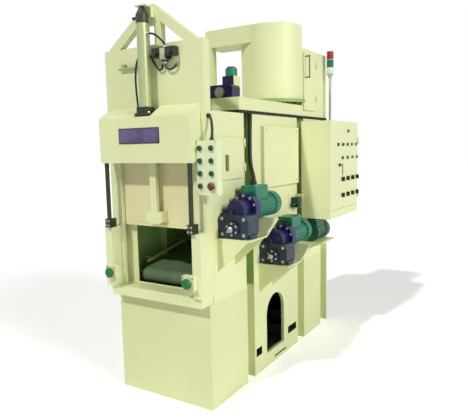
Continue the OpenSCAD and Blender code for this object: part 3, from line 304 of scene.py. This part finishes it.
# Bezels of the button box, top gearmotor and the two kinds of pilot lamp
bezel = {"face": -1.0412}
topMotor = {"pedestal": -0.3405, "base": 2.108, "front": -0.4452}
pilots = {"greenTo": 0.7}
repaint("button_box", barrelMetal, lambda centre, normal: centre.y < bezel["face"])
repaint("gearmotor_top", cream, lambda centre, normal: centre.y > topMotor["pedestal"]
        and centre.z < topMotor["base"])
repaint("gearmotor_top", motorPaint, lambda centre, normal: centre.z > topMotor["base"])
repaint("gearmotor_top", steel, lambda centre, normal: centre.y < topMotor["front"])
repaint("pilot_lamps", darkGreenPlastic, lambda centre, normal: centre.y < pilots["greenTo"])
repaint("pilot_lamps", amberPlastic, lambda centre, normal: centre.y >= pilots["greenTo"])
print("places of their own colour painted")

forming = {"sharpAngle": 32, "roundSteps": 28, "hexSteps": 6, "weldGap": 0.000001, "bevelSteps": 2}


def newPiece(name, mesh, material, body="machine"):
    bmesh.ops.recalc_face_normals(mesh, faces=mesh.faces[:])
    data = bpy.data.meshes.new(name)
    mesh.to_mesh(data)
    mesh.free()
    data.shade_smooth()
    data.set_sharp_from_angle(angle=math.radians(forming["sharpAngle"]))
    data.materials.append(material)
    piece = bpy.data.objects.new(name, data)
    bpy.context.collection.objects.link(piece)
    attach(piece, body)


def turnedForm(profile, size=1, steps=forming["roundSteps"]):
    # a profile of radius and height pairs, spun about the vertical
    form = bmesh.new()
    rim = [form.verts.new((radius * size, 0, height * size)) for radius, height in profile]
    lines = [form.edges.new(pair) for pair in zip(rim, rim[1:])]
    bmesh.ops.spin(form, geom=rim + lines, cent=(0, 0, 0), axis=(0, 0, 1), angle=2 * math.pi, steps=steps,
                   use_merge=True)
    bmesh.ops.remove_doubles(form, verts=form.verts[:], dist=forming["weldGap"])
    return form


def boxForm(size, soft):
    # box on its lower face, its edges rounded
    form = bmesh.new()
    bmesh.ops.create_cube(form, size=1)
    bmesh.ops.scale(form, vec=size, verts=form.verts[:])
    bmesh.ops.translate(form, vec=(0, 0, size[2] / 2), verts=form.verts[:])
    bmesh.ops.bevel(form, geom=form.edges[:], offset=soft, affect="EDGES", segments=forming["bevelSteps"],
                    profile=0.5, material=-1)
    return form


def join(mesh, form, place, axis=(0, 0, 1)):
    # a form goes into the mesh at its place, its own upward direction along the axis
    turning = Matrix.Identity(4)
    if tuple(axis) != (0, 0, 1):
        turning = Vector(axis).to_track_quat("Z", "Y").to_matrix().to_4x4()
    form.transform(Matrix.Translation(place) @ turning)
    holder = bpy.data.meshes.new("form")
    form.to_mesh(holder)
    form.free()
    mesh.from_mesh(holder)
    bpy.data.meshes.remove(holder)


def middleOf(name):
    low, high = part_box(name)
    return (low + high) / 2


# Washer and chamfered hexagon head, in shares of the head's width
boltShape = {"washer": [(0, 0), (0.7, 0), (0.7, 0.12), (0, 0.12)], "washerSteps": 20,
             "head": [(0, 0), (0.5, 0), (0.5, 0.42), (0.43, 0.52), (0, 0.52)], "headAt": 0.1}


def bolts(name, places, width, axis, material=steel):
    mesh = bmesh.new()
    for place in places:
        form = turnedForm(boltShape["washer"], width, boltShape["washerSteps"])
        head = turnedForm(boltShape["head"], width, forming["hexSteps"])
        join(form, head, (0, 0, boltShape["headAt"] * width))
        join(mesh, form, place, axis)
    newPiece(name, mesh, material)


def ringOf(centre, radius, count, axis):
    # places round a circle across the given axis, 1 for Y and 2 for Z, the first one half a step on
    places = []
    for k in range(count):
        angle = (k + 0.5) * 2 * math.pi / count
        spot = [radius * math.cos(angle), radius * math.sin(angle)]
        spot.insert(axis, 0)
        places.append(tuple(c + s for c, s in zip(centre, spot)))
    return places


def fourRound(centre, step):
    # four places, a step to each side of the centre along the two axes whose step isn't 0
    places = []
    for first in (-1, 1):
        for second in (-1, 1):
            signs = [first, second]
            signs.insert(step.index(0), 0)
            places.append(tuple(c + sign * s for c, sign, s in zip(centre, signs, step)))
    return places


# Cables and hoses along the routes of the frame's own cords, in mm, with the direction of each end's fitting
cordMaking = {"steps": 4, "roundness": 4}
left, right = (-1, 0, 0), (1, 0, 0)
forward, backward = (0, -1, 0), (0, 1, 0)
down, up = (0, 0, -1), (0, 0, 1)
cords = {
    "upperHose": {"node": "air_hoses", "width": 12, "ends": [(0, right), (-1, up)], "route": [
        (35.3, -1051, 2283), (50, -1051, 2283), (84, -1046, 2274), (114, -1028, 2246), (128, -1014, 2222),
        (128, -1012, 2212), (128, -1012, 2200.3)]},
    "lowerHose": {"node": "air_hoses", "width": 12, "ends": [(0, down), (-1, left)], "route": [
        (107.3, -1010, 2118.7), (107.3, -1010, 2104), (98, -1006, 2084), (72, -1001, 2082), (44, -1001, 2112),
        (10, -1001, 2164), (-24, -1001, 2192), (-50, -1006, 2192), (-68, -1020, 2160), (-77, -1034, 2109),
        (-74, -1046, 2040), (-68, -1051, 1970), (-62, -1051, 1900), (-58, -1051, 1868), (-51, -1051, 1846),
        (-38.3, -1051, 1846)]},
    "feedHose": {"node": "air_hoses", "width": 12, "ends": [(0, down), (-1, forward)], "route": [
        (128, -1010, 2118.7), (128, -1010, 2106), (136, -1009, 2086), (158, -1008, 2074), (184, -1008, 2080),
        (202, -1006, 2094), (204, -1000, 2100), (204, -991.3, 2100)]},
    "frontCable": {"node": "power_cables", "width": 26, "ends": [(-1, up)], "route": [
        (366, -437, 1833.7), (366, -437, 1810), (367, -446, 1700), (372, -457, 1560), (388, -474, 1490),
        (416, -504, 1446), (434, -524, 1418), (434, -524, 1400), (434, -524, 1375.3)]},
    "middleCable": {"node": "power_cables", "width": 16, "ends": [(0, right), (-1, forward)], "route": [
        (365.3, -340, 1010), (384, -340, 1010), (412, -334, 1022), (440, -300, 1062), (458, -250, 1096),
        (468, -200, 1098), (468, -164, 1088), (468, -150, 1086), (468, -136.3, 1086)]},
    "rearCable": {"node": "power_cables", "width": 16, "ends": [(-1, backward)], "route": [
        (478, 660, 1039.7), (478, 660, 1032), (479, 650, 1020), (480, 630, 1018), (482, 560, 1018),
        (484, 480, 1018), (484, 444.3, 1018)]},
    "boxCable": {"node": "power_cables", "width": 16, "ends": [(0, right), (-1, up)], "route": [
        (377.3, -950, 1800), (388, -950, 1800), (408, -962, 1772), (430, -988, 1726), (442, -1008, 1690),
        (442, -1012, 1674), (442, -1012, 1658.3)]},
}


def curvePoints(route, steps):
    # straight first and last stretches, a smooth curve through the places between them
    points = []
    last = len(route) - 1
    for i in range(last):
        before, start = Vector(route[max(i - 1, 0)]), Vector(route[i])
        end, after = Vector(route[i + 1]), Vector(route[min(i + 2, last)])
        for k in range(steps):
            t = k / steps
            if i in (0, last - 1):
                points.append(start + (end - start) * t)
            else:
                points.append((start * 2 + (end - before) * t
                               + (before * 2 - start * 5 + end * 4 - after) * t * t
                               + (start * 3 - before - end * 3 + after) * t ** 3) / 2)
    return points + [Vector(route[last])]


for name, facts in cords.items():
    points = [point * mm for point in curvePoints(facts["route"], cordMaking["steps"])]
    line = bpy.data.curves.new(name, "CURVE")
    line.dimensions = "3D"
    line.bevel_depth = facts["width"] * mm / 2
    line.bevel_resolution = cordMaking["roundness"]
    line.use_fill_caps = True
    spline = line.splines.new("POLY")
    spline.points.add(len(points) - 1)
    for knot, point in zip(spline.points, points):
        knot.co = (*point, 1)
    line.materials.append(rubber)
    cord = bpy.data.objects.new(name, line)
    bpy.context.collection.objects.link(cord)
    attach(cord, "machine")
    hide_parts(facts["node"])
print("cables and hoses laid")

# Fittings at the cords' ends: flange, hexagon and tapered nut, in shares of the cord's width
gland = {"flange": [(0.52, 0), (0.95, 0), (0.95, 0.16), (0.52, 0.16)],
         "hexagon": [(0.52, 0), (0.86, 0), (0.86, 0.4), (0.52, 0.4)], "hexagonAt": 0.16,
         "nut": [(0.52, 0), (0.78, 0), (0.76, 0.3), (0.6, 0.5), (0.52, 0.5)], "nutAt": 0.56}
fittings = {
    "cableGlands": {"node": "power_cables", "share": 1, "material": blackPlastic, "slot": "black_plastic"},
    "hoseFittings": {"node": "air_hoses", "share": 0.9, "material": steel, "slot": "steel"}}


def glandForm(width):
    form = turnedForm(gland["flange"], width)
    join(form, turnedForm(gland["hexagon"], width, forming["hexSteps"]), (0, 0, gland["hexagonAt"] * width))
    join(form, turnedForm(gland["nut"], width), (0, 0, gland["nutAt"] * width))
    return form


for name, kind in fittings.items():
    mesh = bmesh.new()
    for facts in cords.values():
        if facts["node"] == kind["node"]:
            for which, axis in facts["ends"]:
                form = glandForm(facts["width"] * mm * kind["share"])
                join(mesh, form, Vector(facts["route"][which]) * mm, axis)
    newPiece(name, mesh, kind["material"])
print("glands and hose fittings made")

# Gearboxes: bolts round the upper half of the bell, on the hub and the housing's face, and a cap on the hub
gear = {"face": 0.032, "hubOut": 0.016, "hubRise": 0.062, "hubRing": 0.034, "hubCount": 6, "hubBolt": 0.011,
        "bellBack": 0.130, "bellRise": 0.172, "bellRing": 0.078, "bellCount": 10, "bellBolt": 0.015,
        "coverRise": 0.074, "coverStep": (0.076, 0, 0.048), "coverBolt": 0.016, "capOut": 0.032,
        "cap": [(0, 0), (0.0185, 0), (0.0185, 0.004), (0.012, 0.008), (0.012, 0.010), (0, 0.010)]}
shelf = {"side": 0.0735, "back": 0.065, "step": 0.03, "rise": 0.024, "bolt": 0.014}
shelfPlaces = []
for index, name in enumerate(("gearbox_front", "gearbox_middle")):
    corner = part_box(name)[0]
    x = middleOf(name).x
    face = corner.y + gear["face"]
    z = corner.z
    bell = (x, face + gear["bellBack"], z + gear["bellRise"])
    bellRing = ringOf(bell, gear["bellRing"], gear["bellCount"], 1)
    upperRing = [place for place in bellRing if place[2] > bell[2]]
    bolts(f"flangeBolts{index}", upperRing, gear["bellBolt"], forward)
    hub = (x, face - gear["hubOut"], z + gear["hubRise"])
    bolts(f"hubBolts{index}", ringOf(hub, gear["hubRing"], gear["hubCount"], 1), gear["hubBolt"], forward)
    cap = bmesh.new()
    join(cap, turnedForm(gear["cap"]), (x, face - gear["capOut"], z + gear["hubRise"]), forward)
    newPiece(f"hubCap{index}", cap, steel)
    cover = (x, face, z + gear["coverRise"])
    bolts(f"gearFaceBolts{index}", fourRound(cover, gear["coverStep"]), gear["coverBolt"], forward)
    for step in (-shelf["step"], shelf["step"]):
        shelfPlaces.append((x + shelf["side"], face + shelf["back"] + step, z + shelf["rise"]))

# Motors: rings of the fan grille at the back, bolts on the lid of the terminal box
fan = {"shares": (0.25, 0.42, 0.59, 0.76), "wire": 0.003, "deep": 0.002}
terminal = {"back": 0.084, "step": (0.045, 0.063, 0), "bolt": 0.009}
for index, name in enumerate(("motor_front", "motor_middle", "motor_rear")):
    low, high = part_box(name)
    x = middleOf(name).x
    radius = high.x - x
    grille = bmesh.new()
    for share in fan["shares"]:
        r = radius * share
        ring = [(r, 0), (r + fan["wire"], 0), (r + fan["wire"], fan["deep"]), (r, fan["deep"]), (r, 0)]
        join(grille, turnedForm(ring), (x, high.y, low.z + radius), backward)
    newPiece(f"fanGrille{index}", grille, blackPaint)
    lid = (x, low.y + terminal["back"], high.z)
    bolts(f"boxBolts{index}", fourRound(lid, terminal["step"]), terminal["bolt"], up)
print("motors dressed")

# Blank plate on the hood: a rim and a coloured face
plate = {"left": -0.185, "right": 0.132, "bottom": 1.648, "top": 1.742, "thick": 0.0025, "soft": 0.0008,
         "rim": 0.007, "faceOut": 0.0022, "faceThick": 0.0012, "faceSoft": 0.0004}
plateWide = plate["right"] - plate["left"]
plateHigh = plate["top"] - plate["bottom"]
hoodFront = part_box("hood_cover")[0].y
plateMiddle = Vector((plate["left"] + plateWide / 2, hoodFront, plate["bottom"] + plateHigh / 2))
sheet = bmesh.new()
join(sheet, boxForm((plateWide, plateHigh, plate["thick"]), plate["soft"]), plateMiddle, forward)
newPiece("hoodPlateRim", sheet, plateRim)
panel = bmesh.new()
panelSize = (plateWide - 2 * plate["rim"], plateHigh - 2 * plate["rim"], plate["faceThick"])
join(panel, boxForm(panelSize, plate["faceSoft"]), plateMiddle + Vector(forward) * plate["faceOut"], forward)
newPiece("hoodPlateFace", panel, plateFace)

# Switch unit in a cream bracket, measured from the cabinet's lower front corner at the chamber wall
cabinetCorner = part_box("control_cabinet")[0]
switch = {"wallSize": (0.004, 0.130, 0.130), "wallAt": (0.002, -0.105, 0.080),
          "backSize": (0.075, 0.004, 0.110), "backAt": (0.038, -0.048, 0.090), "sheetSoft": 0.001,
          "unitSize": (0.060, 0.070, 0.080), "unitAt": (0.034, -0.100, 0.100), "unitSoft": 0.005,
          "knob": [(0, 0), (0.017, 0), (0.017, 0.020), (0.012, 0.026), (0, 0.026)],
          "knobAt": (0.034, -0.135, 0.126)}
bracket = bmesh.new()
join(bracket, boxForm(switch["wallSize"], switch["sheetSoft"]), cabinetCorner + Vector(switch["wallAt"]))
join(bracket, boxForm(switch["backSize"], switch["sheetSoft"]), cabinetCorner + Vector(switch["backAt"]))
newPiece("switchBracket", bracket, cream)
unit = bmesh.new()
join(unit, boxForm(switch["unitSize"], switch["unitSoft"]), cabinetCorner + Vector(switch["unitAt"]))
join(unit, turnedForm(switch["knob"]), cabinetCorner + Vector(switch["knobAt"]), forward)
newPiece("switchUnit", unit, darkGreenPlastic)

# Pale core and the two coils of the air valve
valve = {"foot": (0.128, -1.022, 2.119), "coreSize": (0.034, 0.030, 0.064), "coreAt": (0, -0.004, 0.012),
         "coreSoft": 0.003, "coil": [(0, 0), (0.013, 0), (0.013, 0.020), (0.009, 0.024), (0, 0.024)],
         "coilSide": 0.050, "coilOut": -0.010, "coilRise": 0.046}
valveFoot = Vector(valve["foot"])
core = bmesh.new()
join(core, boxForm(valve["coreSize"], valve["coreSoft"]), valveFoot + Vector(valve["coreAt"]))
newPiece("valveCore", core, polePaint)
coils = bmesh.new()
for side in (-1, 1):
    coilAt = Vector((side * valve["coilSide"], valve["coilOut"], valve["coilRise"]))
    join(coils, turnedForm(valve["coil"]), valveFoot + coilAt, forward)
newPiece("valveCoils", coils, blackPlastic)

# Rails beside the belt, on feet, sloping as the belt does from the tail roller to the drive roller
rail = {"side": 0.245, "rise": 0.066, "width": 0.012, "height": 0.018, "short": 0.04, "soft": 0.002,
        "foot": (0.106, 0.014, 0.012), "footSide": 0.057, "footShare": 0.34, "footRise": 0.002}
slope = middleOf("drive_roller") - middleOf("tail_roller")
slope.x = 0
tilting = Matrix.Rotation(math.atan2(slope.z, slope.y), 4, "X")
railMiddle = (middleOf("tail_roller") + middleOf("drive_roller")) / 2
rails = bmesh.new()
for side in (-1, 1):
    form = boxForm((rail["width"], slope.length - rail["short"], rail["height"]), rail["soft"])
    for share in (-rail["footShare"], rail["footShare"]):
        footPlace = (side * rail["footSide"], share * slope.length, rail["footRise"])
        join(form, boxForm(rail["foot"], rail["soft"]), footPlace)
    form.transform(tilting)
    join(rails, form, (side * rail["side"], railMiddle.y, railMiddle.z + rail["rise"]))
newPiece("beltRails", rails, cream)

# Lip, latch bar and rod on the cabinet's door, measured from the same corner of the cabinet
leaf = {"soft": 0.002, "lip": (0.007, 0.600, 0.010), "lipAt": (0.2805, 0.335, 0.054),
        "bar": (0.006, 0.068, 0.012), "barAt": (0.280, 0.243, 0.411),
        "rod": (0.006, 0.007, 0.082), "rodAt": (0.280, 0.273, 0.332)}
lip = bmesh.new()
join(lip, boxForm(leaf["lip"], leaf["soft"]), cabinetCorner + Vector(leaf["lipAt"]))
newPiece("cabinetLip", lip, cream, "cabinet_leaf")
latch = bmesh.new()
join(latch, boxForm(leaf["bar"], leaf["soft"]), cabinetCorner + Vector(leaf["barAt"]))
join(latch, boxForm(leaf["rod"], leaf["soft"]), cabinetCorner + Vector(leaf["rodAt"]))
newPiece("latchRod", latch, handlePaint, "cabinet_leaf")

# Screws of the guide blocks
blocks = {"side": 0.325, "rise": 0.028, "step": (0.012, 0, 0.014), "bolt": 0.010}
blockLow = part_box("guide_blocks")[0]
places = []
for side in (-1, 1):
    places += fourRound((side * blocks["side"], blockLow.y, blockLow.z + blocks["rise"]), blocks["step"])
bolts("guideBlockBolts", places, blocks["bolt"], forward)

# Screws of the cylinder's foot
foot = {"rise": 0.016, "step": (0.047, 0.028, 0), "bolt": 0.013}
footMiddle = (0, barrel["y"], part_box("cylinder_barrel")[0].z + foot["rise"])
bolts("cylinderFootBolts", fourRound(footMiddle, foot["step"]), foot["bolt"], up)

# Screws round the palm buttons
holder = {"step": (0.034, 0, 0.034), "bolt": 0.010}
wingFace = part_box("front_frame")[0].y
places = []
for name in ("palm_button_left", "palm_button_right"):
    places += fourRound((middleOf(name).x, wingFace, middleOf(name).z), holder["step"])
bolts("holderBolts", places, holder["bolt"], forward)

# Bolts that hold the gearboxes on their shelves
bolts("shelfBolts", shelfPlaces, shelf["bolt"], up)

# Bolts round the front of the drum's flange, heads down
flange = {"back": 0.2761, "rise": 0.020, "ring": 0.264, "count": 24, "bolt": 0.015}
flangeMiddle = (middleOf("separator_drum").x, drumLow.y + flange["back"], drumLow.z + flange["rise"])
flangeRing = ringOf(flangeMiddle, flange["ring"], flange["count"], 2)
frontRing = [place for place in flangeRing if place[1] < flangeMiddle[1]]
bolts("drumFlangeBolts", frontRing, flange["bolt"], down, blackPaint)

# Corner screws of the button box
screws = {"x": (0.357, 0.484), "y": -1.041, "z": (1.356, 1.650), "bolt": 0.006}
places = [(x, screws["y"], z) for x in screws["x"] for z in screws["z"]]
bolts("boxCornerScrews", places, screws["bolt"], forward)
print("plates and bolts made")

# A sharp key lamp from the front, a soft one from the drives' side, and little fill
studio = {"eye": (2.047, -3.405, 1.62), "turn": 31.53, "tilt": 7.12, "roll": -1.19, "lens": 39.015,
          "sensor": 36, "reach": 100, "floor": 30, "floorGlow": 0.3, "fill": 0.1,
          "key": 2.0, "keyFrom": (-0.18, -1, 1.08), "keySoft": 3,
          "side": 2.2, "sideFrom": (0.95, -0.14, 0.45), "sideSoft": 25}


def sunLamp(name, strength, source, softness):
    lamp = bpy.data.lights.new(name, "SUN")
    lamp.energy = strength
    lamp.angle = math.radians(softness)
    holder = bpy.data.objects.new(name, lamp)
    holder.rotation_euler = Vector(source).to_track_quat("Z", "Y").to_euler()
    bpy.context.collection.objects.link(holder)


sunLamp("keyLamp", studio["key"], studio["keyFrom"], studio["keySoft"])
sunLamp("sideLamp", studio["side"], studio["sideFrom"], studio["sideSoft"])

# Air: white for the camera and in reflections, a weak fill for everything else
world = bpy.data.worlds.new("studioAir")
bpy.context.scene.world = world
world.use_nodes = True
air = world.node_tree
lightPath = air.nodes.new("ShaderNodeLightPath")
seen = air.nodes.new("ShaderNodeMath")
seen.operation = "MAXIMUM"
glow = air.nodes.new("ShaderNodeMapRange")
glow.inputs["To Min"].default_value = studio["fill"]
glow.inputs["To Max"].default_value = 1
air.nodes["Background"].inputs["Color"].default_value = (1, 1, 1, 1)
air.links.new(lightPath.outputs["Is Camera Ray"], seen.inputs[0])
air.links.new(lightPath.outputs["Is Glossy Ray"], seen.inputs[1])
air.links.new(seen.outputs["Value"], glow.inputs["Value"])
air.links.new(glow.outputs["Result"], air.nodes["Background"].inputs["Strength"])

# Floor: near white, with a glow of its own that only the camera sees
floorMesh = bmesh.new()
bmesh.ops.create_grid(floorMesh, x_segments=1, y_segments=1, size=studio["floor"])
floorData = bpy.data.meshes.new("floor")
floorMesh.to_mesh(floorData)
floorMesh.free()
floor = bpy.data.objects.new("floor", floorData)
bpy.context.collection.objects.link(floor)
paleFloor = paint("paleFloor", {"colour": (253, 253, 250), "drift": 1, "driftScale": 0.5, "rough": 0.8,
                                "peelScale": 40, "peel": 0.02})
floorTree = paleFloor.node_tree
floorPath = floorTree.nodes.new("ShaderNodeLightPath")
floorSeen = floorTree.nodes.new("ShaderNodeMapRange")
floorSeen.inputs["To Min"].default_value = 0
floorSeen.inputs["To Max"].default_value = studio["floorGlow"]
floorTree.links.new(floorPath.outputs["Is Camera Ray"], floorSeen.inputs["Value"])
floorShader = floorTree.nodes["Principled BSDF"]
floorShader.inputs["Emission Color"].default_value = (1, 1, 1, 1)
floorTree.links.new(floorSeen.outputs["Result"], floorShader.inputs["Emission Strength"])
floorData.materials.append(paleFloor)

# Camera: turned about the vertical, tilted down, then rolled about its own line of sight
turn, tilt, roll = (math.radians(studio[key]) for key in ("turn", "tilt", "roll"))
ahead = Vector((-math.sin(turn) * math.cos(tilt), math.cos(turn) * math.cos(tilt), -math.sin(tilt)))
level = Vector((math.cos(turn), math.sin(turn), 0))
above = level.cross(ahead)
imageRight = level * math.cos(roll) + above * math.sin(roll)
imageUp = above * math.cos(roll) - level * math.sin(roll)
cameraData = bpy.data.cameras.new("camera")
cameraData.lens = studio["lens"]
cameraData.sensor_width = studio["sensor"]
cameraData.clip_end = studio["reach"]
camera = bpy.data.objects.new("camera", cameraData)
pose = Matrix((imageRight, imageUp, -ahead)).transposed().to_4x4()
pose.translation = Vector(studio["eye"])
camera.matrix_world = pose
bpy.context.collection.objects.link(camera)
bpy.context.scene.camera = camera
bpy.context.scene.view_settings.view_transform = "Standard"
print("stage set")
